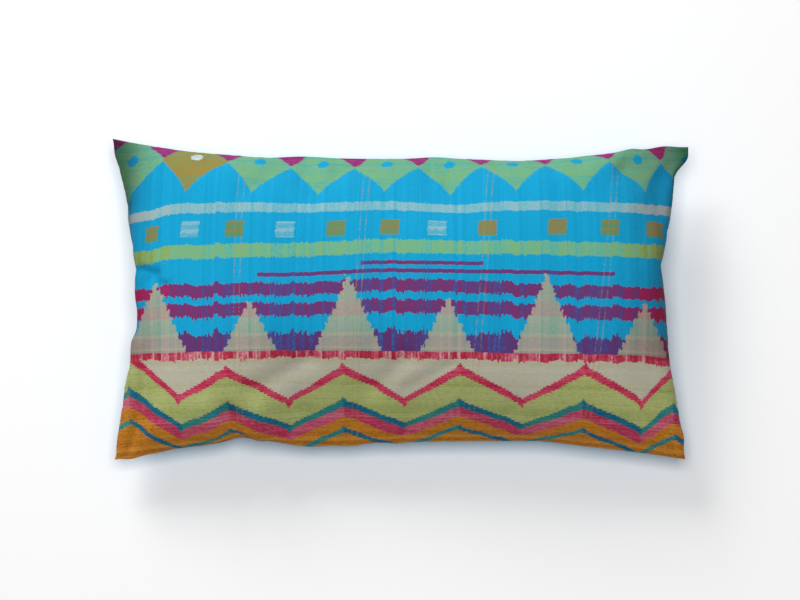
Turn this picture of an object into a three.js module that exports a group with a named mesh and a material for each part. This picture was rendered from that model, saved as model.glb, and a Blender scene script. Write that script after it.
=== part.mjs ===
// A lumbar pillow lying on its back: a front and a back panel of woven cloth, sewn together
// along one plain edge seam and filled. Millimetres. X runs along the long side, Y up the
// face and Z through the thickness, with the origin under the middle on the resting face.
import * as THREE from "three";

const span = { width: 541, height: 303 }; // over the tips of the four ears
const seamHeight = 44; // the edge seam above the surface that the pillow lies on
const crown = {
  frontRise: 64, // the middle of the front panel above the seam
  backDrop: 60, // the same for the back panel, before the surface flattens it
  sideTurn: 0.85, // radians of arc from a long side to the middle
  endTurn: 1.4, // radians of arc at a short end, which is blunter
  endReach: 200, // how far in from a short end the crown reaches its full rise
  cornerEase: 1.5, // higher is fuller in the ears
};
const cells = { along: 64, up: 36 };

// Each corner's tip against the even rectangle: moved out along X and Y, and lifted.
const corners = {
  bottomLeft: { x: 0, y: 0, lift: -7 },
  bottomRight: { x: -1, y: 0, lift: -4 },
  topLeft: { x: 0, y: 1, lift: -3 },
  topRight: { x: 0, y: -7, lift: 6 },
};

// How a side is drawn in between its ears, left to right or bottom to top. It is deepest at
// deepAt, and a high power keeps it level until close beside that end's ear.
const sides = {
  top: { depth: 14, deepAt: 0.37, startPower: 2.6, endPower: 2.9 },
  bottom: { depth: 16.4, deepAt: 0.62, startPower: 5.4, endPower: 2 },
  left: { depth: 20.8, deepAt: 0.48, startPower: 1.15, endPower: 1.9 },
  right: { depth: 20, deepAt: 0.48, startPower: 1.3, endPower: 3.2 },
};

// Where the seam leaves that even line: a tuck pulls it in, and a minus value lets it out.
const tucks = [
  { side: "top", at: 0.26, pull: 1.4, wide: 0.03 },
  { side: "top", at: 0.33, pull: -1.5, wide: 0.04 },
  { side: "top", at: 0.72, pull: 3, wide: 0.07 },
  { side: "top", at: 0.94, pull: -5, wide: 0.05 },
  { side: "bottom", at: 0.03, pull: -3.5, wide: 0.03 },
  { side: "bottom", at: 0.23, pull: 5.8, wide: 0.03 },
  { side: "bottom", at: 0.35, pull: -4, wide: 0.05 },
  { side: "bottom", at: 0.75, pull: 1.8, wide: 0.05 },
  { side: "left", at: 0.3, pull: -0.5, wide: 0.06 },
  { side: "left", at: 0.72, pull: -1.4, wide: 0.06 },
  { side: "right", at: 0.6, pull: 3.8, wide: 0.06 },
  { side: "right", at: 0.85, pull: 2, wide: 0.035 },
  { side: "right", at: 0.95, pull: -2, wide: 0.025 },
];

const tipShare = 0.03; // of a side's length, beside each tip

// Soft creases in the cloth, each from one point to another, measured from the middle of the
// face. A minus depth is a ridge.
const frontCreases = [
  { fromX: -152, fromY: -136, toX: -163, toY: -104, wide: 8, deep: 7 },
  { fromX: -136, fromY: -137, toX: -131, toY: -112, wide: 10, deep: -4 },
  { fromX: -176, fromY: -138, toX: -186, toY: -106, wide: 12, deep: -3 },
  { fromX: -248, fromY: 31, toX: -212, toY: 22, wide: 6, deep: 3.5 },
  { fromX: -246, fromY: 17, toX: -219, toY: 12, wide: 6, deep: 3 },
  { fromX: -136, fromY: -88, toX: -86, toY: -62, wide: 9, deep: 3.5 },
  { fromX: -116, fromY: -90, toX: -70, toY: -64, wide: 9, deep: -2 },
  { fromX: -24, fromY: -88, toX: 6, toY: -62, wide: 9, deep: 3 },
  { fromX: -146, fromY: 98, toX: -104, toY: 130, wide: 9, deep: 3 },
  { fromX: -80, fromY: 98, toX: -42, toY: 130, wide: 9, deep: 2.5 },
  { fromX: 214, fromY: 124, toX: 252, toY: 112, wide: 9, deep: 5 },
  { fromX: 108, fromY: -108, toX: 128, toY: -134, wide: 9, deep: 3 },
  { fromX: 236, fromY: 22, toX: 206, toY: 14, wide: 8, deep: 3 },
];
const backCreases = [
  { fromX: -152, fromY: -136, toX: -160, toY: -112, wide: 9, deep: 5 },
  { fromX: -70, fromY: 132, toX: -86, toY: 108, wide: 9, deep: 3 },
  { fromX: 96, fromY: 132, toX: 108, toY: 106, wide: 9, deep: 3 },
  { fromX: 60, fromY: -134, toX: 48, toY: -110, wide: 9, deep: 3 },
  { fromX: 248, fromY: 24, toX: 222, toY: 20, wide: 8, deep: 3 },
];

const lerp = THREE.MathUtils.lerp;
const bell = (distance, wide) => Math.exp(-((distance / wide) ** 2));

// The value at s, t of something known at the four corners.
function fromCorners(s, t, read) {
  const { bottomLeft, bottomRight, topLeft, topRight } = corners;
  return lerp(
    lerp(read(bottomLeft), read(bottomRight), s),
    lerp(read(topLeft), read(topRight), s),
    t,
  );
}

// How far a side is drawn in at a share of its length.
function drawnIn(name, at) {
  const { depth, deepAt, startPower, endPower } = sides[name];
  const away = at < deepAt ? (deepAt - at) / deepAt : (at - deepAt) / (1 - deepAt);
  return depth * (1 - away ** (at < deepAt ? startPower : endPower));
}

// What the tucks add there. They end close to the tips, so that the corners stay put.
function tucked(name, at) {
  const fromTip = Math.min(at, 1 - at);
  const own = tucks.filter((tuck) => tuck.side === name);
  const pull = own.reduce((sum, tuck) => sum + tuck.pull * bell(at - tuck.at, tuck.wide), 0);
  return pull * Math.min(1, fromTip / tipShare);
}

// The pull of two facing sides on a point between them, where share runs from low to high.
// A side's even curve fades evenly across the face, and its tucks fade close to the seam.
function pulled(low, high, at, share) {
  const fromLow = drawnIn(low, at) * (1 - share) + tucked(low, at) * (1 - share) ** 4;
  const fromHigh = drawnIn(high, at) * share + tucked(high, at) * share ** 4;
  return fromLow - fromHigh;
}

// The height of a round arc over a seam, from 0 at the seam to 1 where it is level.
function arc(share, turn) {
  const across = (1 - Math.min(share, 1)) * Math.sin(turn);
  return (Math.sqrt(1 - across ** 2) - Math.cos(turn)) / (1 - Math.cos(turn));
}

// The share of the full rise at s, t, where both arcs meet softly in the ears.
function fullness(s, t) {
  const fromEnd = arc((Math.min(s, 1 - s) * span.width) / crown.endReach, crown.endTurn);
  const fromSide = arc(1 - Math.abs(2 * t - 1), crown.sideTurn);
  if (Math.min(fromEnd, fromSide) < 1e-6) return 0;
  const ease = crown.cornerEase;
  return (fromEnd ** -ease + fromSide ** -ease - 1) ** (-1 / ease);
}

function creased(creases, x, y) {
  const place = new THREE.Vector3(x, y, 0);
  const nearest = new THREE.Vector3();
  return creases.reduce((sum, { fromX, fromY, toX, toY, wide, deep }) => {
    const line = new THREE.Line3(
      new THREE.Vector3(fromX, fromY, 0),
      new THREE.Vector3(toX, toY, 0),
    );
    line.closestPointToPoint(place, true, nearest);
    return sum + deep * bell(nearest.distanceTo(place), wide);
  }, 0);
}

// One point of a panel. s and t run from 0 to 1 across the face, and onFront picks the panel.
function panelPoint(s, t, onFront) {
  const x =
    (s - 0.5) * span.width + fromCorners(s, t, (c) => c.x) + pulled("left", "right", t, s);
  const y =
    (t - 0.5) * span.height + fromCorners(s, t, (c) => c.y) + pulled("bottom", "top", s, t);
  const seam = seamHeight + fromCorners(s, t, (c) => c.lift);
  const full = fullness(s, t);
  const nearSeam = Math.min(1, 4 * full); // creases run out at the seam, which both panels share
  if (onFront) {
    const z = seam + crown.frontRise * full - creased(frontCreases, x, y) * nearSeam;
    return new THREE.Vector3(x, y, z);
  }
  const z = seam - crown.backDrop * full + creased(backCreases, x, y) * nearSeam;
  return new THREE.Vector3(x, y, Math.max(0, z));
}

// Rows lie closer together near the seam, where the panel is steepest.
function spaced(index, count, turn) {
  return 0.5 + (0.5 * Math.sin(turn * ((2 * index) / count - 1))) / Math.sin(turn);
}

// Both panels as one closed surface, with one ring of points along the seam for the two.
function pillowGeometry() {
  const points = [];
  const known = new Map();
  const pointAt = (i, j, onFront) => {
    const onSeam = i === 0 || j === 0 || i === cells.along || j === cells.up;
    const key = [i, j, onSeam || onFront].join();
    if (!known.has(key)) {
      known.set(key, points.length);
      const s = spaced(i, cells.along, crown.endTurn);
      const t = spaced(j, cells.up, crown.sideTurn);
      points.push(panelPoint(s, t, onFront));
    }
    return known.get(key);
  };

  const index = [];
  for (const onFront of [true, false]) {
    for (let i = 0; i < cells.along; i++) {
      for (let j = 0; j < cells.up; j++) {
        const ring = [
          pointAt(i, j, onFront),
          pointAt(i + 1, j, onFront),
          pointAt(i + 1, j + 1, onFront),
          pointAt(i, j + 1, onFront),
        ];
        if (!onFront) ring.reverse();
        const [a, b, c, d] = ring; // the cut runs out to the nearest ear, so no triangle is all seam
        const rising = (i < cells.along / 2) === (j < cells.up / 2);
        index.push(...(rising === onFront ? [a, b, c, a, c, d] : [a, b, d, b, c, d]));
      }
    }
  }

  const geometry = new THREE.BufferGeometry().setFromPoints(points).setIndex(index);
  geometry.computeBoundingBox();
  const middle = geometry.boundingBox.getCenter(new THREE.Vector3());
  geometry.translate(-middle.x, -middle.y, 0);
  geometry.computeVertexNormals();
  return geometry;
}

const cloth = new THREE.MeshStandardMaterial({ color: 0x26aad8, roughness: 0.9, metalness: 0 });
const pillow = new THREE.Mesh(pillowGeometry(), cloth);
pillow.name = "pillow";

const object = new THREE.Group();
object.add(pillow);
export default object;
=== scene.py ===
import math

import bmesh
import bpy
import numpy as np
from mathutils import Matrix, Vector


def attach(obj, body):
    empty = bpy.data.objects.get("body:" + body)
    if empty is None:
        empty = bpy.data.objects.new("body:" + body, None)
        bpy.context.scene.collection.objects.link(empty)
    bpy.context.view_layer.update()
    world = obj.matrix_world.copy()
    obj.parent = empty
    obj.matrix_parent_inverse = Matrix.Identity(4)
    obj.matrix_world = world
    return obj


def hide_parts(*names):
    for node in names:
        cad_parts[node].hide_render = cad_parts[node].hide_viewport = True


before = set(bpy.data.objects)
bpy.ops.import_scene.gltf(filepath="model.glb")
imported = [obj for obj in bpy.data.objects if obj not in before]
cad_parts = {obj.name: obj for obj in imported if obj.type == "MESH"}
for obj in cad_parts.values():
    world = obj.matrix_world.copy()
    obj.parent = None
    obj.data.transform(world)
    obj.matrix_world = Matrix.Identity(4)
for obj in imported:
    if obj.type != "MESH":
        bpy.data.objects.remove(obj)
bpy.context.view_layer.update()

# Metres, unless a name says millimetres. X runs along the long side, Y up the face, Z out of it.
view = {
    "distance": 4.0,  # from the seam's middle
    "tilt": 7,  # degrees off the face's own line, towards the bottom edge
    "acrossFrame": 0.7585,  # what the frame's width takes in at that distance
    "aim": (0.0003, -0.0008, 0.044),
}
pillow = {
    "cut": (0.559, 0.305),  # each panel inside its seam, before it is filled
    "cells": (112, 61),  # of the cloth while it fills, 5 mm each
    "loft": 0.006,  # the panels start this far from the seam's plane
    "seamFrames": 10,  # the seam draws in over these
    "frames": 26,
    "fullness": 1.2,  # of the solid's volume, so the cloth ends up taut
    "filling": 100,  # how hard the filling pushes towards that volume
    "quality": 6,
    "mass": 0.02,
    "stretch": 60,
    "compression": 0.7,  # as a share of the stretch, like the next
    "shear": 0.2,
    "bend": 0.3,
    "damping": 15,
    "shearDamping": 10,
    "airDamping": 3,
    "held": 5,  # how stiffly the seam is held
    "endSunk": {"left": 0.010, "right": 0.004},  # how far each end's seam sits inside its bulge
    "underShare": 0.3,  # of the back's bulge past the seam, where the weight draws it under
    "jitter": 0.0003,
    "seed": 5,
}
finish = {
    "step": 0.002,  # the finished cloth's own rows
    "besideSeam": (0.0010, 0.0024),  # the first rows beside the seam
    "seamSunk": 0.0011,
    "seamSwell": 0.012,  # how far in the cloth swells up beside it
    "puckerHeight": 0.0006,
    "puckerReach": 0.009,
    "puckerLengths": (0.0071, 0.0113, 0.0187),
    "puckerPhases": {True: (1.3, 4.1), False: (2.9, 0.6)},  # front and back: long sides, ends
    "puckersFrom": 0.003,  # from the seam, where they begin
    "creasesFrom": 0.01,
    "restSoftness": 0.0025,  # how softly the back turns flat where it lies
    "smoothings": {"everywhere": 2, "middle": 6},  # passes over the filled cloth's fine ripples
    "middleFrom": (0.02, 0.07),  # from the seam, where the middle's passes begin and count in full
}

# Soft creases in the cloth, in millimetres from the face's middle. A minus depth is a ridge.
creases = [
    {"from": (-152, -136), "to": (-161, -110), "wide": 8, "deep": 6.5},
    {"from": (-136, -137), "to": (-131, -112), "wide": 10, "deep": -4},
    {"from": (-176, -138), "to": (-186, -106), "wide": 12, "deep": -3},
    {"from": (-245, 26), "to": (-230, 22), "wide": 4.5, "deep": 4.2},
    {"from": (-236, 17), "to": (-222, 9), "wide": 5, "deep": 4},
    {"from": (-257, 74), "to": (-257, 44), "wide": 9, "deep": -3},
    {"from": (-256, -16), "to": (-256, -28), "wide": 12, "deep": 4},
    {"from": (-258, -44), "to": (-262, -80), "wide": 11, "deep": -4.5},
    {"from": (-136, -88), "to": (-86, -62), "wide": 9, "deep": 3.5},
    {"from": (-24, -88), "to": (6, -62), "wide": 9, "deep": 3},
    {"from": (6, -89), "to": (46, -69), "wide": 6, "deep": 1.6},
    {"from": (-146, 98), "to": (-104, 130), "wide": 9, "deep": 2.4},
    {"from": (-80, 98), "to": (-42, 130), "wide": 9, "deep": 2.2},
    {"from": (214, 124), "to": (252, 112), "wide": 9, "deep": 4},
    {"from": (256, 140), "to": (264, 118), "wide": 7, "deep": 5},
]
backCreases = [
    {"from": (-152, -136), "to": (-160, -112), "wide": 9, "deep": 5},
    {"from": (-70, 132), "to": (-86, 108), "wide": 9, "deep": 3},
    {"from": (96, 132), "to": (108, 106), "wide": 9, "deep": 3},
    {"from": (60, -134), "to": (48, -110), "wide": 9, "deep": 3},
    {"from": (248, 24), "to": (222, 20), "wide": 8, "deep": 3},
]

# Where the seam's own line leaves the solid's, in millimetres: each pull is full at one point.
seamPulls = [
    {"at": (-270, 151), "within": 30, "by": (-3, 2.4)},
    {"at": (-266, 136), "within": 9, "by": (-2.4, 0)},
    {"at": (-258, 88), "within": 22, "by": (1.5, 0)},
    {"at": (-255, 57), "within": 16, "by": (-2.6, 0)},
    {"at": (-252, -14), "within": 24, "by": (4.2, 0)},
    {"at": (-262, -85), "within": 30, "by": (-1.5, 0)},
    {"at": (-270, -148), "within": 8, "by": (1.6, 0)},
    {"at": (270, 146), "within": 14, "by": (2.8, 1)},
    {"at": (266, 134), "within": 9, "by": (5, 0)},
    {"at": (264, 117), "within": 11, "by": (-2, 0)},
    {"at": (260, 80), "within": 35, "by": (2.2, 0)},
    {"at": (257, 53), "within": 14, "by": (4, 0)},
    {"at": (252, -26), "within": 24, "by": (2.3, 0)},
    {"at": (264, -95), "within": 35, "by": (2.2, 0)},
    {"at": (267, -130), "within": 9, "by": (2.4, 0)},
    {"at": (33, 142), "within": 20, "by": (0, 2.2)},
    {"at": (160, 142), "within": 10, "by": (0, -1.5)},
    {"at": (218, 147), "within": 8, "by": (0, 1.6)},
    {"at": (235, 148), "within": 12, "by": (0, -2.6)},
    {"at": (-229, -144), "within": 12, "by": (0, -1.8)},
    {"at": (-165, -136), "within": 22, "by": (0, 1.6)},
    {"at": (-122, -138), "within": 12, "by": (0, 2)},
    {"at": (-45, -137), "within": 16, "by": (0, -2.8)},
    {"at": (-3, -137), "within": 9, "by": (0, -1.5)},
    {"at": (105, -137), "within": 80, "by": (0, 1.2)},
]


def addCamera():
    data = bpy.data.cameras.new("camera")
    camera = bpy.data.objects.new("camera", data)
    bpy.context.scene.collection.objects.link(camera)
    bpy.context.scene.camera = camera
    data.lens = data.sensor_width * view["distance"] / view["acrossFrame"]
    tilt = math.radians(view["tilt"])
    back = Vector((0, -math.sin(tilt), math.cos(tilt)))
    camera.location = Vector(view["aim"]) + back * view["distance"]
    camera.rotation_euler = (tilt, 0, 0)


upward = 1e-4  # a face normal's least Z on the front


def seamSides(node):
    # the ring of edges between the solid's upward and downward faces, cut at the four ears
    solid = bmesh.new()
    solid.from_mesh(node.data)
    bmesh.ops.remove_doubles(solid, verts=solid.verts, dist=1e-6)
    solid.normal_update()
    solid.verts.ensure_lookup_table()
    beside = {}
    for edge in solid.edges:
        one, other = (face.normal.z > upward for face in edge.link_faces)
        if one != other:
            a, b = (vert.index for vert in edge.verts)
            beside.setdefault(a, []).append(b)
            beside.setdefault(b, []).append(a)
    start = min(beside, key=lambda i: solid.verts[i].co.x + solid.verts[i].co.y)
    ring = [start, max(beside[start], key=lambda i: solid.verts[i].co.x)]
    while ring[-1] != start:
        ring.append([i for i in beside[ring[-1]] if i != ring[-2]][0])
    points = np.array([solid.verts[i].co[:] for i in ring[:-1]])
    solid.free()
    ways = ((1, 1, 0), (-1, 1, 0), (-1, -1, 0), (1, -1, 0))
    ears = [int(np.argmin(points @ np.array(way))) for way in ways]
    sides = []
    for a, b in zip(ears, ears[1:] + ears[:1]):
        side = points[[(a + k) % len(points) for k in range((b - a) % len(points) + 1)]]
        along = np.concatenate([[0], np.cumsum(np.linalg.norm(np.diff(side, axis=0), axis=1))])
        sides.append((along / along[-1], side))
    return sides


def onSide(side, share):
    along, points = side
    return np.stack([np.interp(share, along, points[:, k]) for k in range(3)], axis=-1)


def sewnGrid(across, up):
    # the point numbers of both panels, which share the ones along the seam
    front = np.arange((across + 1) * (up + 1)).reshape(across + 1, up + 1)
    back = front.copy()
    inner = (across - 1) * (up - 1)
    back[1:-1, 1:-1] = front.size + np.arange(inner).reshape(across - 1, up - 1)
    return front, back, front.size + inner


def quads(ids, faceUp):
    ring = [ids[:-1, :-1], ids[1:, :-1], ids[1:, 1:], ids[:-1, 1:]]
    if not faceUp:
        ring.reverse()
    return np.stack([corner.ravel() for corner in ring], axis=1)


def fillCover(node):
    # two flat cuts sewn together, whose seam draws in to the solid's own while they fill
    across, up = pillow["cells"]
    wide, high = pillow["cut"]
    front, back, count = sewnGrid(across, up)
    u, v = np.meshgrid(np.linspace(0, 1, across + 1), np.linspace(0, 1, up + 1), indexing="ij")
    bottom, right, top, left = seamSides(node)
    seamHeight = float(np.mean([side[1][:, 2].mean() for side in (bottom, right, top, left)]))
    random = np.random.default_rng(pillow["seed"])
    fromSeam = np.minimum(np.minimum(u, 1 - u) * wide, np.minimum(v, 1 - v) * high)
    loft = np.minimum(pillow["loft"], fromSeam / 2)
    flat = np.zeros((count, 3))
    for ids, way in ((back, -1), (front, 1)):
        shake = random.normal(size=u.shape) * pillow["jitter"] * (fromSeam > 0)
        z = seamHeight + way * loft + shake
        flat[ids] = np.stack([(u - 0.5) * wide, (v - 0.5) * high, z], axis=-1)
    drawn = flat.copy()
    drawn[front[:, 0]] = onSide(bottom, u[:, 0])
    drawn[front[:, -1]] = onSide(top, 1 - u[:, -1])
    drawn[front[0, :]] = onSide(left, 1 - v[0, :])
    drawn[front[-1, :]] = onSide(right, v[-1, :])
    between = np.sin(np.pi * v[0, :]) ** 2
    drawn[front[0, :], 0] += pillow["endSunk"]["left"] * between
    drawn[front[-1, :], 0] -= pillow["endSunk"]["right"] * between
    seamIds = front[fromSeam == 0]
    drawn[seamIds, :2] += pulled(drawn[seamIds, :2])

    mesh = bpy.data.meshes.new("filling")
    rings = np.concatenate([quads(front, True), quads(back, False)])
    mesh.from_pydata(flat.tolist(), [], rings.tolist())
    cover = bpy.data.objects.new("filling", mesh)
    scene = bpy.context.scene
    scene.collection.objects.link(cover)
    cover.shape_key_add(name="cut")
    key = cover.shape_key_add(name="drawn")
    key.data.foreach_set("co", drawn.ravel())
    for value, at in ((0, 1), (1, pillow["seamFrames"])):
        key.value = value
        key.keyframe_insert("value", frame=at)
    seam = cover.vertex_groups.new(name="seam")
    seam.add(seamIds.tolist(), 1.0, "REPLACE")

    cloth = cover.modifiers.new("cloth", "CLOTH")
    settings = cloth.settings
    settings.quality = pillow["quality"]
    settings.mass = pillow["mass"]
    settings.tension_stiffness = pillow["stretch"]
    settings.compression_stiffness = pillow["compression"] * pillow["stretch"]
    settings.shear_stiffness = pillow["shear"] * pillow["stretch"]
    settings.bending_stiffness = pillow["bend"]
    settings.tension_damping = pillow["damping"]
    settings.compression_damping = pillow["damping"]
    settings.shear_damping = pillow["shearDamping"]
    settings.air_damping = pillow["airDamping"]
    settings.effector_weights.gravity = 0
    settings.vertex_group_mass = "seam"
    settings.pin_stiffness = pillow["held"]
    settings.use_pressure = True
    settings.use_pressure_volume = True
    settings.uniform_pressure_force = 0
    settings.pressure_factor = pillow["filling"]
    settings.target_volume = solidVolume(node) * pillow["fullness"]
    cloth.point_cache.frame_start = 1
    cloth.point_cache.frame_end = pillow["frames"]
    for at in range(1, pillow["frames"] + 1):
        scene.frame_set(at)
    filled = cover.evaluated_get(bpy.context.evaluated_depsgraph_get()).to_mesh()
    places = np.zeros(count * 3)
    filled.vertices.foreach_get("co", places)
    scene.frame_set(1)
    bpy.data.objects.remove(cover)
    bpy.data.meshes.remove(mesh)
    places = places.reshape(-1, 3)
    print("filled cover", np.ptp(places, axis=0).round(4).tolist())
    return places[front], drawnUnder(places[back])


def pulled(places):
    total = np.zeros(places.shape)
    for row in seamPulls:
        away = np.linalg.norm(places * 1000 - row["at"], axis=1)
        total += np.exp(-((away / row["within"]) ** 2))[:, None] * row["by"] / 1000
    return total


def drawnUnder(back):
    # the back's bulge past the seam's line, seen from above, keeps only a share of its reach
    back = back.copy()
    for axis, low, high in ((0, back[:1, :, 0], back[-1:, :, 0]), (1, back[:, :1, 1], back[:, -1:, 1])):
        inside = np.clip(back[..., axis], low, high)
        back[..., axis] = inside + (back[..., axis] - inside) * pillow["underShare"]
    return back


def solidVolume(node):
    solid = bmesh.new()
    solid.from_mesh(node.data)
    volume = abs(solid.calc_volume())
    solid.free()
    return volume


def smoothed(places, passes):
    # the seam's own points stay
    for _ in range(passes):
        inner = places[1:-1, 1:-1]
        beside = places[:-2, 1:-1] + places[2:, 1:-1] + places[1:-1, :-2] + places[1:-1, 2:]
        places = places.copy()
        places[1:-1, 1:-1] = inner / 2 + beside / 8
    return places


def ironed(rough):
    # the solver's ripples go, least beside the seam, where real puckers are
    rough = smoothed(rough, finish["smoothings"]["everywhere"])
    x, y = (np.linspace(0, side, count) for side, count in zip(pillow["cut"], rough.shape))
    fromSeam = np.minimum(np.minimum(x, x[::-1])[:, None], np.minimum(y, y[::-1])[None, :])
    start, full = finish["middleFrom"]
    share = np.clip((fromSeam - start) / (full - start), 0, 1)[..., None]
    return rough + (smoothed(rough, finish["smoothings"]["middle"]) - rough) * share


def rowsAlong(length):
    # the finished cloth's rows as shares of a side, closer together beside the seam
    beside = (0.0, *finish["besideSeam"])
    start = beside[-1] + finish["step"]
    even = np.linspace(start, length - start, round((length - 2 * start) / finish["step"]) + 1)
    return np.concatenate([beside, even, length - np.array(beside[::-1])]) / length


def rowWeights(at, count):
    # Catmull-Rom weights that read the filled cloth's rows at the finished cloth's own
    place = np.clip(at * count, 0, count - 1e-9)
    cell = place.astype(int)
    f = place - cell
    parts = (
        (-f + 2 * f**2 - f**3) / 2,
        (2 - 5 * f**2 + 3 * f**3) / 2,
        (f + 4 * f**2 - 3 * f**3) / 2,
        (f**3 - f**2) / 2,
    )
    weights = np.zeros((len(at), count + 1))
    lines = np.arange(len(at))
    for offset, part in zip((-1, 0, 1, 2), parts):
        inside = np.clip(cell + offset, 0, count)
        past = cell + offset != inside
        towards = np.where(inside[past] == 0, 1, -1)
        np.add.at(weights, (lines, inside), part)
        np.add.at(weights, (lines[past], inside[past]), part[past])
        np.add.at(weights, (lines[past], inside[past] + towards), -part[past])
    return weights


def outward(places, faceUp):
    across = np.gradient(places, axis=0)
    up = np.gradient(places, axis=1)
    normals = np.cross(across, up) if faceUp else np.cross(up, across)
    return normals / np.maximum(np.linalg.norm(normals, axis=2, keepdims=True), 1e-12)


def wavy(along, phase):
    lengths = finish["puckerLengths"]
    waves = (np.sin(2 * np.pi * along / length + phase * (k + 1)) for k, length in enumerate(lengths))
    return sum(waves) / len(lengths)


def creased(places, rows):
    # how deep the listed creases are at each point of a panel
    millimetres = places[..., :2] * 1000
    depth = np.zeros(places.shape[:2])
    for row in rows:
        start = np.array(row["from"])
        way = np.array(row["to"]) - start
        share = np.clip((millimetres - start) @ way / (way @ way), 0, 1)
        away = np.linalg.norm(millimetres - start - share[..., None] * way, axis=2)
        depth += row["deep"] / 1000 * np.exp(-((away / row["wide"]) ** 2))
    return depth


def finishPanel(rough, faceUp):
    wide, high = pillow["cut"]
    alongX, alongY = rowsAlong(wide), rowsAlong(high)
    rough = ironed(rough)
    places = np.einsum("ai,ijk->ajk", rowWeights(alongX, rough.shape[0] - 1), rough)
    places = np.einsum("bj,ajk->abk", rowWeights(alongY, rough.shape[1] - 1), places)
    x, y = np.meshgrid(alongX * wide, alongY * high, indexing="ij")
    fromEnd, fromLongSide = np.minimum(x, wide - x), np.minimum(y, high - y)
    fromSeam = np.minimum(fromEnd, fromLongSide)
    swell = np.exp(-fromSeam / finish["seamSwell"]) * (1 - np.exp(-fromSeam / finish["besideSeam"][0]))
    lift = finish["seamSunk"] * swell
    phases = finish["puckerPhases"][faceUp]
    for along, away, phase in zip((x, y), (fromLongSide, fromEnd), phases):
        near = np.exp(-away / finish["puckerReach"]) * (1 - np.exp(-fromSeam / finish["puckersFrom"]))
        lift += finish["puckerHeight"] * near * wavy(along, phase)
    depth = creased(places, creases if faceUp else backCreases)
    lift -= depth * (1 - np.exp(-fromSeam / finish["creasesFrom"]))
    places = places + outward(places, faceUp) * lift[..., None]
    if not faceUp:
        soft = finish["restSoftness"]
        places[..., 2] = soft * np.logaddexp(0, places[..., 2] / soft)
    return places, np.stack([x / wide, y / high], axis=-1)


def addMap(mesh, name, spots):
    layer = mesh.uv_layers.new(name=name)
    layer.data.foreach_set("uv", spots.ravel())


def makePillow(frontRough, backRough):
    front, spots = finishPanel(frontRough, True)
    back, _ = finishPanel(backRough, False)
    across, up = front.shape[0] - 1, front.shape[1] - 1
    frontIds, backIds, count = sewnGrid(across, up)
    places = np.zeros((count, 3))
    places[backIds] = back
    places[frontIds] = front
    rings = np.concatenate([quads(frontIds, True), quads(backIds, False)])
    mesh = bpy.data.meshes.new("lumbarPillow")
    mesh.from_pydata(places.tolist(), [], rings.tolist())
    mesh.polygons.foreach_set("use_smooth", [True] * len(rings))
    mesh.polygons.foreach_set("material_index", [0] * (across * up) + [1] * (across * up))
    cornerIds = np.arange(front[..., 0].size).reshape(across + 1, up + 1)
    cloth = np.concatenate([spots.reshape(-1, 2)[quads(cornerIds, faceUp)] for faceUp in (True, False)])
    addMap(mesh, "cloth", cloth)
    apart = cloth * (0.98, 0.48) + 0.01  # the panels one above the other, with a margin
    apart[across * up :, :, 1] += 0.5
    addMap(mesh, "OFBake", apart)
    piece = bpy.data.objects.new("lumbarPillow", mesh)
    bpy.context.scene.collection.objects.link(piece)
    print("finished cloth", len(rings) * 2, "triangles")
    return piece


# The cloth's pattern, in millimetres on the flat front panel: X from its middle, Y from its lower
# seam. A tone is what a screen shows, 0 to 255, after the share at which a thread takes it.
threads = {
    "pitch": 0.9,
    "relief": 0.00022,  # metres
    "bump": 0.7,
    "toneRelief": 0.35,  # how far a thread's tone lifts it too
    "warpSlip": {"Thread": 1.6, "Bundle": 6.0, "Seed": 3},
    "weftSlip": {"Thread": 1.8, "Bundle": 4.4, "Seed": 11},
    "warpTone": {"Thread": 1.6, "Seed": 7},
    "weftTone": {"Thread": 0.9, "Length": 5.0, "Drift": 0.16, "Seed": 23},
    "backTone": {"Thread": 1.05, "Seed": 5},
    "bandShare": 0.7,  # how much of a thread's own tone a stripe shows
    "weftReach": 1.6,  # how far a row's edges slip along it
    "roughness": (0.82, 0.94),
    "sheen": 0.03,
    "sheenRoughness": 0.5,
    "gloss": 0.12,
    "paintedWeaveShade": (0.86, 1.05),  # painted shade beside a thread's top and painted light on it, as the colour's share there
}
slips = {  # how far a dye slipped along a thread, as shares of its stripe's own reach
    "level": -0.85,
    "thread": 0.5,
    "bundle": 1.2,
    "slow": {"scale": 0.018, "share": 0.35},
    "wander": {"scale": 0.09, "share": 3.0},  # of the tied bundles' edges
    "rarity": 6.0,  # of the threads that ran far past an edge
    "bundleSeed": 1.7,
}
takes = {  # how well a thread took its dye
    "level": 0.05,
    "thread": 0.28,
    "bundle": 0.38,
    "onTop": 0.24,
    "driftScale": 0.05,
    "seeds": {"bundle": 3.1, "run": 37.0, "length": 61.0, "thread": 1.37},
}
softEdge = 0.4  # half of an edge between two dyes
offCut = {  # the bands run a little off the cover's sides
    "ear": {"x": (-205, -262), "lean": 0.07, "from": 120, "most": 8.5},
    "left": {"x": (0, -110), "rises": (90, 150), "falls": (330, 262), "most": 4.5},
    "right": {"x": (225, 275), "most": 2.0},
}
ends = {  # towards both ends the stripes redden and the warp's colour darkens, most in the ears: above the feather a deeper dye together with painted shade where the ends curve away, in the ears painted shade where they fold away
    "redder": {"x": (195, 262), "most": 0.5},
    "shadeAndDye": [
        # above the feather: a deeper dye together with painted shade where the ends curve away
        {"left": (-226, -272), "right": (186, 266), "above": (93, 97), "darkening": (222, 196, 198)},
        # in the ears: painted shade where they fold away
        {"left": (-246, -276), "right": (258, 277), "above": (228, 258), "darkening": (150, 188, 174)},
    ],
}
ground = [(0.1, (8, 149, 195)), (0.5, (14, 156, 203)), (0.9, (22, 163, 210))]
whiteTones = [
    (0.05, (84, 168, 190)),
    (0.25, (108, 174, 188)),
    (0.45, (130, 180, 192)),
    (0.62, (152, 178, 180)),
]
greenTones = [
    (0.05, (76, 166, 166)),
    (0.22, (96, 173, 154)),
    (0.4, (114, 176, 130)),
    (0.6, (132, 170, 104)),
    (1.0, (120, 148, 64)),
]
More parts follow.
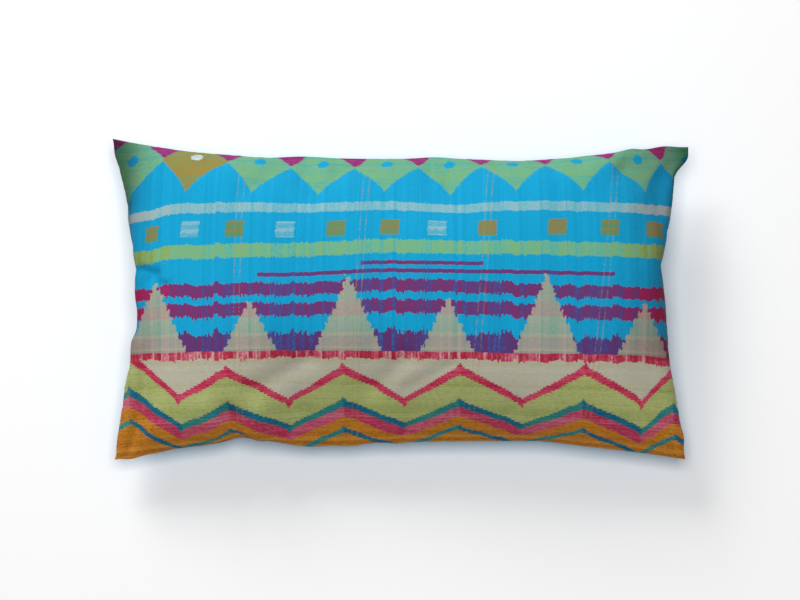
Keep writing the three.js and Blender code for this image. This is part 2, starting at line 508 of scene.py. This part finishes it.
purpleTones = [
    (0.06, (60, 88, 154)),
    (0.18, (82, 68, 136)),
    (0.32, (99, 58, 117)),
    (0.46, (117, 50, 107)),
    (0.6, (152, 36, 90)),
    (1.0, (150, 30, 78)),
]
deepTones = [
    (0.05, (34, 108, 168)),
    (0.16, (62, 80, 148)),
    (0.3, (82, 60, 126)),
    (0.44, (94, 54, 108)),
    (0.6, (122, 42, 92)),
    (1.0, (122, 38, 84)),
]
stripes = [
    {"edges": (235.2, 244.6), "reach": 0.9, "ragged": (0.8, 0.8), "tones": whiteTones},
    {"edges": (191.4, 204.4), "reach": 1.3, "ragged": (1.0, 1.0), "tones": greenTones},
    {"edges": (180.5, 184.1), "x": (-35, 80), "reach": 0.6, "ragged": (0.4, 0.4), "tones": purpleTones},
    {"edges": (172.7, 176.5), "x": (-131, 206), "reach": 0.6, "ragged": (0.4, 0.4), "tones": purpleTones},
    {"edges": (154.9, 166.5), "reach": 2.6, "ragged": (2.4, 0.8), "sag": 3.2, "tones": purpleTones},
    {"edges": (134.8, 147.4), "reach": 2.8, "ragged": (2.6, 0.8), "sag": 3.2, "tones": purpleTones},
    {"edges": (80.0, 117.0), "reach": 5.0, "ragged": (0.0, 3.0), "sag": 3.2, "tones": deepTones},
]
sagAt = (60.0, 130.0)  # along X, where a stripe with a sag drops by it
squares = {
    "pitch": 48.2,
    "first": -8.0,
    "slips": [  # uneven gaps
        ((-24, -36), 2.4),
        ((-170, -185), -4.4),
        ((-210, -248), -14),
        ((14, 24), 3.8),
        ((95, 125), -17.8),
        ((165, 182), -2),
        ((212, 232), 3.6),
    ],
    "bow": ((60, 200), -2.2),  # the row rises towards both ends
    "half": (8.8, 7.8),
    "middle": 217.4,
    "reach": 2.6,
    "faintest": {"white": 0.7, "ochre": 0.9},
    "white": (-4, -2, 1),
    "threadShare": 0.7,  # of an ochre square's tone, the rest being its own
    "whites": [(0.2, (86, 168, 188)), (0.5, (122, 180, 190)), (0.8, (162, 192, 192))],
    "ochres": [
        (0.15, (88, 138, 84)),
        (0.4, (116, 133, 60)),
        (0.6, (136, 124, 42)),
        (0.85, (154, 114, 36)),
    ],
}
lozenges = {
    "pitch": 63.4,
    "first": -13.5,
    "half": (34.0, 35.0),
    "power": (0.85, 0.9),
    "soft": 0.02,  # half of the edge, as a share of the half size
    "middle": 291.0,
    "crowded": ((225.0, 270.0), 16.0),  # closer together in the right ear
    "fan": 0.00085,  # how they widen for each millimetre above their lower tips
    "tips": 258.0,
    "tones": [
        (0.1, (76, 160, 150)),
        (0.4, (95, 169, 144)),
        (0.65, (114, 171, 124)),
        (0.9, (128, 166, 102)),
    ],
    "between": [(0.1, (118, 34, 82)), (0.5, (146, 44, 116)), (0.9, (162, 62, 130))],
    "eye": {"half": (5.8, 4.6), "up": 3.0, "soft": 0.15},
    "odd": -3,  # this one is ochre with a white eye
    "oddTones": [
        (0.1, (104, 148, 112)),
        (0.35, (126, 142, 86)),
        (0.6, (145, 131, 64)),
        (0.9, (172, 124, 50)),
    ],
    "oddEye": [(0.2, (176, 190, 200)), (0.8, (206, 220, 222))],
}
triangles = {
    "pitch": 186.4,
    "base": 96.0,
    "step": 7.5,
    "reach": 3.4,
    "sizes": [
        {"first": -46.6, "half": 31.0, "height": 72.0},
        {"first": 46.6, "half": 25.0, "height": 50.0},
    ],
    "warp": [
        (0.1, (98, 138, 136)),
        (0.4, (140, 148, 138)),
        (0.65, (166, 152, 142)),
        (0.9, (190, 162, 156)),
    ],
    "warpShare": 0.5,
    "layers": [
        (0.0, (166, 150, 144)),
        (0.07, (158, 148, 142)),
        (0.08, (184, 184, 150)),
        (0.11, (168, 154, 146)),
        (0.25, (156, 158, 146)),
        (0.26, (190, 190, 156)),
        (0.30, (128, 176, 154)),
        (0.51, (146, 184, 160)),
        (0.53, (178, 152, 144)),
        (0.70, (170, 158, 146)),
        (0.72, (152, 174, 152)),
        (1.0, (166, 170, 146)),
    ],
}
feather = {
    "low": 91.6,
    "high": 98.6,
    "reach": 2.2,
    "above": 0.6,  # how ragged its upper edge is
    "down": 3.0,
    "tones": [
        (0.15, (160, 38, 60)),
        (0.35, (182, 56, 82)),
        (0.5, (192, 98, 116)),
        (0.62, (196, 156, 148)),
    ],
}
chevrons = {
    "pitch": 111.2,
    "peak": -163.0,
    "fall": 0.53,  # of the pitch, from a peak to the next valley
    "sharp": 0.08,  # of the height, where a peak or a valley runs out to a spike
    "slips": [
        ((110, 180), -6),
        ((225, 262), 20),
        ((-165, -235), -8),
        ((-235, -265), -3),
    ],
    "lift": ((-150, -285), 22),
    "slope": 0.016,
    "ragged": 0.6,
    "turnSoft": 0.03,  # of the pitch, where a falling flank's tones turn into a rising one's
    "cream": [
        (0.1, (170, 166, 142)),
        (0.4, (182, 178, 154)),
        (0.65, (178, 176, 164)),
        (0.9, (192, 188, 168)),
    ],
}
redTones = [(0.05, (152, 32, 62)), (0.35, (178, 42, 76)), (0.6, (192, 66, 94)), (0.9, (198, 92, 112))]
limeTones = [
    (0.05, (136, 148, 82)),
    (0.35, (155, 164, 98)),
    (0.6, (166, 175, 112)),
    (0.9, (180, 178, 114)),
]
tealTones = [
    (0.05, (10, 78, 110)),
    (0.3, (22, 100, 130)),
    (0.55, (34, 118, 122)),
    (0.9, (66, 138, 118)),
]
pinkTones = [
    (0.05, (150, 36, 66)),
    (0.3, (174, 52, 82)),
    (0.55, (190, 82, 106)),
    (0.8, (194, 114, 134)),
    (0.95, (192, 124, 84)),
]
orangeTones = [
    (0.05, (150, 88, 28)),
    (0.35, (178, 112, 30)),
    (0.6, (192, 128, 40)),
    (0.9, (200, 142, 62)),
]
chevronBands = [  # each one's upper edge, and its spikes past that edge
    {"peak": 85.5, "valley": 52.5, "spikes": (1.6, 0.0), "flank": 0.1, "tones": redTones},
    {"peak": 76.8, "valley": 46.0, "spikes": (-1.0, -3.2), "tones": limeTones},
    {"peak": 51.0, "valley": 25.0, "spikes": (1.5, 0.0), "flank": 0.35, "tones": tealTones},
    {"peak": 43.5, "valley": 18.8, "spikes": (-1.0, -2.2), "flank": 0.2, "tones": pinkTones},
    {"peak": 33.0, "valley": 8.0, "spikes": (-1.0, 0.0), "tones": orangeTones},
    {"peak": 21.0, "valley": -2.5, "spikes": (1.0, 0.0), "flank": 0.35, "tones": tealTones},
    {"peak": 16.0, "valley": -8.0, "spikes": (0.0, 0.0), "tones": orangeTones},
]
thinThreads = {
    "first": -39.5,
    "pitch": 112.5,
    "apart": 5.2,
    "half": (0.36, 0.84),  # where a thread is full, and where it ends
    "lean": (0.05, 0.0003),  # everywhere, and for each millimetre towards +X
    "from": 72.0,
    "share": 0.42,
    "dash": 1.9,
    "seed": 91.0,
    "tone": (172, 136, 54),
}


def dye(tone):
    # a screen's colour as light
    light = []
    for part in tone:
        share = part / 255
        light.append(share / 12.92 if share <= 0.04045 else ((share + 0.055) / 1.055) ** 2.4)
    return (*light, 1.0)


def put(tree, socket, value):
    if isinstance(value, bpy.types.NodeSocket):
        tree.links.new(value, socket)
    else:
        socket.default_value = value


def calc(tree, operation, *values):
    node = tree.nodes.new("ShaderNodeMath")
    node.operation = operation
    for socket, value in zip(node.inputs, values):
        put(tree, socket, value)
    return node.outputs[0]


def scaled(tree, value, factor, plus=0.0):
    return calc(tree, "MULTIPLY_ADD", value, factor, plus)


def eased(tree, value, start, end, low=0.0, high=1.0):
    # a soft step from low at start to high at end
    node = tree.nodes.new("ShaderNodeMapRange")
    node.interpolation_type = "SMOOTHSTEP"
    for socket, given in zip(node.inputs, (value, start, end, low, high)):
        put(tree, socket, given)
    return node.outputs[0]


def noise(tree, along, scale):
    # mostly -1 to 1 along a line
    node = tree.nodes.new("ShaderNodeTexNoise")
    node.noise_dimensions = "1D"
    put(tree, node.inputs["W"], calc(tree, "MULTIPLY", along, scale))
    node.inputs["Detail"].default_value = 1
    return scaled(tree, node.outputs["Fac"], 4.0, -2.0)


def chance(tree, number):
    # 0 to 1, another for each whole number
    node = tree.nodes.new("ShaderNodeTexWhiteNoise")
    node.noise_dimensions = "1D"
    put(tree, node.inputs["W"], number)
    return node.outputs["Value"]


def mixed(tree, share, first, second, blend="MIX"):
    node = tree.nodes.new("ShaderNodeMix")
    node.data_type = "RGBA"
    node.blend_type = blend
    put(tree, node.inputs["Factor"], share)
    put(tree, node.inputs[6], first)
    put(tree, node.inputs[7], second)
    return node.outputs[2]


def toned(tree, share, tones):
    node = tree.nodes.new("ShaderNodeValToRGB")
    ramp = node.color_ramp
    while len(ramp.elements) < len(tones):
        ramp.elements.new(0.5)
    for element, (at, tone) in zip(ramp.elements, tones):
        element.position = at
        element.color = dye(tone)
    put(tree, node.inputs["Fac"], share)
    return node.outputs["Color"]


def newGroup(name, inputs, outputs):
    group = bpy.data.node_groups.new(name, "ShaderNodeTree")
    for label, value in inputs.items():
        socket = group.interface.new_socket(label, in_out="INPUT", socket_type="NodeSocketFloat")
        socket.default_value = value
    for label in outputs:
        group.interface.new_socket(label, in_out="OUTPUT", socket_type="NodeSocketFloat")
    return group, group.nodes.new("NodeGroupInput").outputs, group.nodes.new("NodeGroupOutput").inputs


def use(tree, group, **values):
    node = tree.nodes.new("ShaderNodeGroup")
    node.node_tree = group
    for label, value in values.items():
        put(tree, node.inputs[label], value)
    return node.outputs


def makeBandGroup():
    # 1 between two edges
    group, given, out = newGroup("band", {"Value": 0, "Low": 0, "High": 1, "Soft": 0.35}, ["Mask"])
    steps = []
    for edge, way in (("Low", 1.0), ("High", -1.0)):
        past = calc(group, "MULTIPLY", calc(group, "SUBTRACT", given["Value"], given[edge]), way)
        steps.append(eased(group, past, calc(group, "MULTIPLY", given["Soft"], -1.0), given["Soft"]))
    put(group, out["Mask"], calc(group, "MULTIPLY", *steps))
    return group


def makeSlipGroup():
    # how far the dye slipped along a thread: with its tied bundle, by itself and slowly across
    # the cloth. Up and Down are near 1 only for the few threads that ran far past an edge.
    given = {"Across": 0, "Thread": 1, "Bundle": 4, "Seed": 0}
    group, given, out = newGroup("dyeSlip", given, ["Slip", "Up", "Down"])
    across, seed = given["Across"], given["Seed"]
    slow, wander = slips["slow"], slips["wander"]
    thread = calc(group, "FLOOR", calc(group, "DIVIDE", across, given["Thread"]))
    wandered = scaled(group, noise(group, across, wander["scale"]), wander["share"], across)
    bundle = calc(group, "FLOOR", calc(group, "DIVIDE", wandered, given["Bundle"]))
    own = chance(group, calc(group, "ADD", thread, seed))
    tied = chance(group, scaled(group, seed, slips["bundleSeed"], bundle))
    slip = scaled(group, noise(group, across, slow["scale"]), slow["share"], slips["level"])
    slip = scaled(group, own, slips["thread"], slip)
    put(group, out["Slip"], scaled(group, tied, slips["bundle"], slip))
    put(group, out["Up"], calc(group, "POWER", calc(group, "SUBTRACT", 1.0, own), slips["rarity"]))
    put(group, out["Down"], calc(group, "POWER", own, slips["rarity"]))
    return group


def makeToneGroup():
    # 0 to 1: how well a thread took its dye, by tied bundle, by itself and slowly along it. Tone
    # also changes in short lengths, where the thread lies on top, and Plain doesn't.
    given = {"Across": 0, "Along": 0, "Seed": 0, "Thread": 1, "Bundle": 4.1, "Length": 1.2, "Drift": 0.1}
    group, given, out = newGroup("threadTone", given, ["Tone", "Plain"])
    across, seed = given["Across"], given["Seed"]
    seeds = takes["seeds"]
    thread = calc(group, "FLOOR", calc(group, "DIVIDE", across, given["Thread"]))
    own = chance(group, calc(group, "ADD", thread, seed))
    shifted = scaled(group, seed, seeds["bundle"], across)
    bundle = calc(group, "FLOOR", calc(group, "DIVIDE", shifted, given["Bundle"]))
    run = scaled(group, own, seeds["run"], given["Along"])
    length = calc(group, "FLOOR", calc(group, "DIVIDE", run, given["Length"]))
    number = scaled(group, length, seeds["length"], scaled(group, thread, seeds["thread"], seed))
    total = scaled(group, chance(group, bundle), takes["bundle"], takes["level"])
    total = scaled(group, own, takes["thread"], total)
    total = calc(group, "MULTIPLY_ADD", noise(group, run, takes["driftScale"]), given["Drift"], total)
    put(group, out["Plain"], total)
    put(group, out["Tone"], scaled(group, chance(group, number), takes["onTop"], total))
    return group


def makeWeaveGroup():
    # plain weave: the height of whichever thread is on top
    group, given, out = newGroup("plainWeave", {"X": 0, "Y": 0, "Pitch": 1}, ["Height"])
    heights = []
    for across, along, shift in (("X", "Y", 0.0), ("Y", "X", 1.0)):
        place = calc(group, "DIVIDE", given[across], given["Pitch"])
        number = calc(group, "FLOOR", place)
        rounded = calc(group, "SINE", calc(group, "MULTIPLY", calc(group, "FRACT", place), math.pi))
        run = calc(group, "DIVIDE", given[along], given["Pitch"])
        turn = calc(group, "ADD", calc(group, "ADD", run, number), shift - 0.5)
        turn = calc(group, "MULTIPLY", turn, math.pi)
        over = scaled(group, calc(group, "COSINE", turn), 0.5, 0.5)
        heights.append(calc(group, "MULTIPLY", calc(group, "SQRT", rounded), over))
    put(group, out["Height"], calc(group, "MAXIMUM", *heights))
    return group


def clothPlace(tree):
    # the flat panel's own X from its middle and Y from its lower seam, in millimetres
    node = tree.nodes.new("ShaderNodeUVMap")
    node.uv_map = "cloth"
    split = tree.nodes.new("ShaderNodeSeparateXYZ")
    tree.links.new(node.outputs["UV"], split.inputs["Vector"])
    wide, high = (side * 1000 for side in pillow["cut"])
    x = scaled(tree, split.outputs["X"], wide, -wide / 2)
    return x, calc(tree, "MULTIPLY", split.outputs["Y"], high)


def offGrain(tree, x, y):
    row = offCut["ear"]
    rise = scaled(tree, y, row["lean"], -row["lean"] * row["from"])
    rise = calc(tree, "MINIMUM", calc(tree, "MAXIMUM", rise, 0.0), row["most"])
    y = calc(tree, "MULTIPLY_ADD", rise, eased(tree, x, *row["x"]), y)
    row = offCut["left"]
    rise = eased(tree, x, *row["x"], 0.0, row["most"])
    for edge in ("rises", "falls"):
        rise = calc(tree, "MULTIPLY", rise, eased(tree, y, *row[edge]))
    row = offCut["right"]
    return calc(tree, "ADD", calc(tree, "ADD", y, rise), eased(tree, x, *row["x"], 0.0, row["most"]))


def repeated(tree, value, first, pitch):
    # distance from the nearest repeat, and that repeat's number
    place = calc(tree, "DIVIDE", calc(tree, "SUBTRACT", value, first), pitch)
    number = calc(tree, "ROUND", place)
    return calc(tree, "MULTIPLY", calc(tree, "SUBTRACT", place, number), pitch), number


def clothMaterial(name):
    material = bpy.data.materials.new(name)
    material.use_nodes = True
    tree = material.node_tree
    shader = tree.nodes["Principled BSDF"]
    shader.inputs["Specular IOR Level"].default_value = threads["gloss"]
    shader.inputs["Sheen Weight"].default_value = threads["sheen"]
    shader.inputs["Sheen Roughness"].default_value = threads["sheenRoughness"]
    return material, tree, shader


def addWeave(tree, groups, shader, x, y, tone, colour):
    height = use(tree, groups["weave"], X=x, Y=y, Pitch=threads["pitch"])["Height"]
    bump = tree.nodes.new("ShaderNodeBump")
    bump.inputs["Strength"].default_value = threads["bump"]
    bump.inputs["Distance"].default_value = threads["relief"]
    tree.links.new(scaled(tree, tone, threads["toneRelief"], height), bump.inputs["Height"])
    tree.links.new(bump.outputs["Normal"], shader.inputs["Normal"])
    tree.links.new(eased(tree, tone, 0.0, 1.0, *threads["roughness"]), shader.inputs["Roughness"])
    # painted shade in the grooves between threads and painted light on their tops, by the weave's height
    shade = tree.nodes.new("ShaderNodeHueSaturation")
    put(tree, shade.inputs["Color"], colour)
    put(tree, shade.inputs["Value"], eased(tree, height, 0.0, 1.0, *threads["paintedWeaveShade"]))
    tree.links.new(shade.outputs["Color"], shader.inputs["Base Color"])


def makeBackMaterial(groups):
    material, tree, shader = clothMaterial("plainWovenCloth")
    x, y = clothPlace(tree)
    tone = use(tree, groups["tone"], Across=x, Along=y, **threads["backTone"])["Tone"]
    addWeave(tree, groups, shader, x, y, tone, toned(tree, tone, ground))
    return material


def clothThreads(tree, groups):
    # a point's place on the cloth, how far the dyes slipped there, and how its threads took them
    x, flatY = clothPlace(tree)
    y = offGrain(tree, x, flatY)
    rowHeight = threads["weftSlip"]["Thread"]
    row = calc(tree, "FLOOR", calc(tree, "DIVIDE", y, rowHeight))
    warp = use(tree, groups["slip"], Across=x, **threads["warpSlip"])
    weft = use(tree, groups["slip"], Across=y, **threads["weftSlip"])
    warpTones = use(tree, groups["tone"], Across=x, Along=y, **threads["warpTone"])
    weftTones = use(tree, groups["tone"], Across=y, Along=x, **threads["weftTone"])
    redder = ends["redder"]
    further = eased(tree, calc(tree, "ABSOLUTE", x), *redder["x"], 0.0, redder["most"])
    return {
        "x": x,
        "flatY": flatY,
        "y": y,
        "row": row,
        "rowX": scaled(tree, weft["Slip"], threads["weftReach"], x),
        "rowY": calc(tree, "MULTIPLY", calc(tree, "ADD", row, 0.5), rowHeight),
        "warp": warp,
        "weft": weft,
        "warpTone": warpTones["Tone"],
        "threadTone": warpTones["Plain"],
        "weftTone": weftTones["Tone"],
        "bandTone": scaled(tree, warpTones["Tone"], threads["bandShare"], further),
    }


def addStripes(tree, groups, cloth, colour):
    for row in stripes:
        y = scaled(tree, cloth["warp"]["Slip"], row["reach"], cloth["y"])
        if "sag" in row:
            y = calc(tree, "ADD", y, eased(tree, cloth["x"], *sagAt, 0.0, row["sag"]))
        (low, high), (down, up) = row["edges"], row["ragged"]
        low = scaled(tree, cloth["warp"]["Down"], -down, low)
        high = scaled(tree, cloth["warp"]["Up"], up, high)
        mask = use(tree, groups["band"], Value=y, Low=low, High=high)["Mask"]
        if "x" in row:
            low, high = row["x"]
            between = use(tree, groups["band"], Value=cloth["rowX"], Low=low, High=high)["Mask"]
            mask = calc(tree, "MULTIPLY", mask, between)
        colour = mixed(tree, mask, colour, toned(tree, cloth["bandTone"], row["tones"]))
    return colour


def isOneOf(tree, number, chosen):
    found = 0.0
    for one in chosen:
        found = calc(tree, "MAXIMUM", found, calc(tree, "COMPARE", number, float(one), 0.5))
    return found


def addSquares(tree, groups, cloth, colour):
    # a row of ochre squares, a few of them white
    x = scaled(tree, cloth["weft"]["Slip"], squares["reach"], cloth["x"])
    for along, slip in squares["slips"]:
        x = calc(tree, "ADD", x, eased(tree, cloth["x"], *along, 0.0, slip))
    away, number = repeated(tree, x, squares["first"], squares["pitch"])
    along, bow = squares["bow"]
    y = calc(tree, "ADD", cloth["y"], eased(tree, calc(tree, "ABSOLUTE", cloth["x"]), *along, 0.0, bow))
    halfX, halfY = squares["half"]
    middle = squares["middle"]
    inX = use(tree, groups["band"], Value=away, Low=-halfX, High=halfX)["Mask"]
    inY = use(tree, groups["band"], Value=y, Low=middle - halfY, High=middle + halfY)["Mask"]
    white = isOneOf(tree, number, squares["white"])
    faintest = eased(tree, white, 0.0, 1.0, squares["faintest"]["ochre"], squares["faintest"]["white"])
    strength = calc(tree, "MAXIMUM", chance(tree, cloth["row"]), faintest)
    whites = toned(tree, cloth["weftTone"], squares["whites"])
    share = squares["threadShare"]
    own = calc(tree, "MULTIPLY", chance(tree, number), 1 - share)
    ochre = scaled(tree, cloth["weftTone"], share, own)
    dyed = mixed(tree, white, toned(tree, ochre, squares["ochres"]), whites)
    return mixed(tree, calc(tree, "MULTIPLY", calc(tree, "MULTIPLY", inX, inY), strength), colour, dyed)


def addLozenges(tree, groups, cloth, colour):
    # a row of them along the upper seam, with an eye in each
    fan = scaled(tree, cloth["y"], lozenges["fan"], 1 - lozenges["fan"] * lozenges["tips"])
    along, closer = lozenges["crowded"]
    x = calc(tree, "MULTIPLY_ADD", cloth["rowX"], fan, eased(tree, cloth["x"], *along, 0.0, closer))
    away, number = repeated(tree, x, lozenges["first"], lozenges["pitch"])
    odd = isOneOf(tree, number, [lozenges["odd"]])
    up = calc(tree, "SUBTRACT", cloth["rowY"], lozenges["middle"])
    shares = []
    for distance, half, power in zip((away, up), lozenges["half"], lozenges["power"]):
        share = calc(tree, "DIVIDE", calc(tree, "ABSOLUTE", distance), half)
        shares.append(calc(tree, "POWER", share, power))
    soft = lozenges["soft"]
    inside = eased(tree, calc(tree, "ADD", *shares), 1 + soft, 1 - soft)
    above = eased(tree, up, -softEdge, softEdge)
    colour = mixed(tree, above, colour, toned(tree, cloth["weftTone"], lozenges["between"]))
    dyed = [toned(tree, cloth["weftTone"], lozenges[name]) for name in ("tones", "oddTones")]
    colour = mixed(tree, inside, colour, mixed(tree, odd, *dyed))
    eye = lozenges["eye"]
    halfX, halfY = eye["half"]
    eyeX = calc(tree, "DIVIDE", away, halfX)
    eyeY = calc(tree, "DIVIDE", calc(tree, "SUBTRACT", up, eye["up"]), halfY)
    fromEye = calc(tree, "MULTIPLY_ADD", eyeX, eyeX, calc(tree, "MULTIPLY", eyeY, eyeY))
    dyed = [toned(tree, cloth["weftTone"], tones) for tones in (ground, lozenges["oddEye"])]
    inside = eased(tree, fromEye, 1 + eye["soft"], 1 - eye["soft"])
    return mixed(tree, inside, colour, mixed(tree, odd, *dyed))


def addTriangles(tree, cloth, colour):
    # tall and low stepped triangles in turn, feathered by the warp
    rise = scaled(tree, cloth["warp"]["Slip"], triangles["reach"], cloth["y"])
    rise = calc(tree, "SUBTRACT", rise, triangles["base"])
    step = triangles["step"]
    stepped = calc(tree, "MULTIPLY", calc(tree, "FLOOR", calc(tree, "DIVIDE", rise, step)), step)
    inside = 0.0
    for row in triangles["sizes"]:
        away, _ = repeated(tree, cloth["rowX"], row["first"], triangles["pitch"])
        reach = scaled(tree, stepped, -row["half"] / row["height"], row["half"])
        reach = calc(tree, "SUBTRACT", reach, calc(tree, "ABSOLUTE", away))
        within = eased(tree, reach, -softEdge, softEdge)
        inside = calc(tree, "MAXIMUM", inside, within)
    tallest = max(row["height"] for row in triangles["sizes"])
    share = calc(tree, "DIVIDE", calc(tree, "SUBTRACT", cloth["rowY"], triangles["base"]), tallest)
    layers = toned(tree, share, triangles["layers"])
    warp = toned(tree, cloth["warpTone"], triangles["warp"])
    dyed = mixed(tree, triangles["warpShare"], layers, warp)
    return mixed(tree, inside, colour, dyed)


def addChevrons(tree, cloth, colour):
    # zigzag bands under the cream ground, each over the one before
    x = cloth["rowX"]
    for (start, end), slip in chevrons["slips"]:
        x = calc(tree, "ADD", x, eased(tree, cloth["x"], start, end, 0.0, slip))
    turn = calc(tree, "DIVIDE", calc(tree, "SUBTRACT", x, chevrons["peak"]), chevrons["pitch"])
    turn = calc(tree, "FRACT", turn)
    fall = chevrons["fall"]
    falling = scaled(tree, turn, -1 / fall, 1.0)
    rising = scaled(tree, turn, 1 / (1 - fall), -fall / (1 - fall))
    height = calc(tree, "MAXIMUM", falling, rising)  # 1 on a peak and 0 in a valley
    onPeak = eased(tree, height, 1 - chevrons["sharp"], 1.0)
    inValley = eased(tree, height, chevrons["sharp"], 0.0)
    (start, end), most = chevrons["lift"]
    lift = scaled(tree, cloth["x"], chevrons["slope"], eased(tree, cloth["x"], start, end, 0.0, most))
    level = scaled(tree, cloth["warp"]["Slip"], chevrons["ragged"], cloth["rowY"])
    level = calc(tree, "SUBTRACT", level, lift)
    onRise = eased(tree, turn, fall - chevrons["turnSoft"], fall + chevrons["turnSoft"])
    bands = toned(tree, cloth["weftTone"], chevrons["cream"])
    for row in chevronBands:
        edge = scaled(tree, height, row["peak"] - row["valley"], row["valley"])
        edge = scaled(tree, onPeak, row["spikes"][0], edge)
        edge = scaled(tree, inValley, row["spikes"][1], edge)
        under = eased(tree, calc(tree, "SUBTRACT", edge, level), -softEdge, softEdge)
        tone = cloth["weftTone"]
        if "flank" in row:  # a rising flank's tone runs on
            run = calc(tree, "MULTIPLY", onRise, row["flank"])
            tone = scaled(tree, tone, 1 - row["flank"], run)
        bands = mixed(tree, under, bands, toned(tree, tone, row["tones"]))
    top = (feather["low"] + feather["high"]) / 2
    return mixed(tree, eased(tree, cloth["y"], top + softEdge, top - softEdge), colour, bands)


def addFeather(tree, groups, cloth, colour):
    # the combed line between the cream ground and the triangles
    low = scaled(tree, cloth["warp"]["Slip"], feather["reach"], feather["low"])
    low = scaled(tree, cloth["warp"]["Down"], -feather["down"], low)
    high = scaled(tree, cloth["warp"]["Slip"], feather["above"], feather["high"])
    mask = use(tree, groups["band"], Value=cloth["y"], Low=low, High=high)["Mask"]
    return mixed(tree, mask, colour, toned(tree, cloth["threadTone"], feather["tones"]))


def addThinThreads(tree, cloth, colour):
    # pairs of thin ochre threads across all the bands, broken here and there
    everywhere, more = thinThreads["lean"]
    lean = scaled(tree, cloth["x"], -more, -everywhere)
    up = calc(tree, "SUBTRACT", cloth["y"], thinThreads["from"])
    leant = calc(tree, "MULTIPLY_ADD", up, lean, cloth["x"])
    away, number = repeated(tree, leant, thinThreads["first"], thinThreads["pitch"])
    away = calc(tree, "SUBTRACT", calc(tree, "ABSOLUTE", away), thinThreads["apart"] / 2)
    full, end = thinThreads["half"]
    thin = eased(tree, calc(tree, "ABSOLUTE", away), end, full, 0.0, thinThreads["share"])
    dash = calc(tree, "FLOOR", calc(tree, "DIVIDE", cloth["y"], thinThreads["dash"]))
    seen = chance(tree, scaled(tree, number, thinThreads["seed"], dash))
    return mixed(tree, calc(tree, "MULTIPLY", thin, seen), colour, dye(thinThreads["tone"]))


# painted shade: multiplies the colour darker towards both ends, where the cover curves away, and more in
# the ears, where it folds away; the first row also stands for a deeper dye
def paintEndShadeAndDye(tree, cloth, colour):
    for row in ends["shadeAndDye"]:
        left, right = (eased(tree, cloth["x"], *row[side]) for side in ("left", "right"))
        share = calc(tree, "ADD", left, right)
        share = calc(tree, "MULTIPLY", share, eased(tree, cloth["y"], *row["above"]))
        colour = mixed(tree, share, colour, dye(row["darkening"]), "MULTIPLY")
    return colour


def makeFrontMaterial(groups):
    material, tree, shader = clothMaterial("wovenCloth")
    cloth = clothThreads(tree, groups)
    colour = toned(tree, cloth["warpTone"], ground)
    colour = addStripes(tree, groups, cloth, colour)
    colour = addSquares(tree, groups, cloth, colour)
    colour = addLozenges(tree, groups, cloth, colour)
    colour = addTriangles(tree, cloth, colour)
    colour = addChevrons(tree, cloth, colour)
    colour = addFeather(tree, groups, cloth, colour)
    colour = addThinThreads(tree, cloth, colour)
    colour = paintEndShadeAndDye(tree, cloth, colour)
    addWeave(tree, groups, shader, cloth["x"], cloth["flatY"], cloth["warpTone"], colour)
    return material


floorLook = {"half": 6.0, "colour": (0.97, 0.97, 0.97, 1), "roughness": 0.9}


def makeFloor():
    half = floorLook["half"]
    mesh = bpy.data.meshes.new("floor")
    corners = [(-half, -half, 0), (half, -half, 0), (half, half, 0), (-half, half, 0)]
    mesh.from_pydata(corners, [], [(0, 1, 2, 3)])
    floor = bpy.data.objects.new("floor", mesh)
    bpy.context.scene.collection.objects.link(floor)
    material = bpy.data.materials.new("paleFloor")
    material.use_nodes = True
    shader = material.node_tree.nodes["Principled BSDF"]
    shader.inputs["Base Color"].default_value = floorLook["colour"]
    shader.inputs["Roughness"].default_value = floorLook["roughness"]
    mesh.materials.append(material)


lights = [
    {"name": "key", "at": (-1.3, 2.4, 1.65), "size": 1.4, "power": 62},
    {"name": "overhead", "at": (0.0, 0.0, 3.2), "size": 1.4, "power": 56},
]
sky = {"colour": (1.0, 1.0, 1.0, 1.0), "strength": 0.2}


def addLights():
    scene = bpy.context.scene
    for row in lights:
        data = bpy.data.lights.new(row["name"], "AREA")
        data.size = row["size"]
        data.energy = row["power"]
        light = bpy.data.objects.new(row["name"], data)
        scene.collection.objects.link(light)
        light.location = row["at"]
        light.rotation_euler = (-Vector(row["at"])).to_track_quat("-Z", "Y").to_euler()
    world = bpy.data.worlds.new("softRoom")
    world.use_nodes = True
    background = world.node_tree.nodes["Background"]
    background.inputs["Color"].default_value = sky["colour"]
    background.inputs["Strength"].default_value = sky["strength"]
    scene.world = world
    scene.view_settings.view_transform = "Standard"


addCamera()
makeFloor()
addLights()
front, back = fillCover(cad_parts["pillow"])
piece = makePillow(front, back)
groups = {
    "band": makeBandGroup(),
    "slip": makeSlipGroup(),
    "tone": makeToneGroup(),
    "weave": makeWeaveGroup(),
}
piece.data.materials.append(makeFrontMaterial(groups))
piece.data.materials.append(makeBackMaterial(groups))
print("materials made")
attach(piece, "root")
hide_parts("pillow")
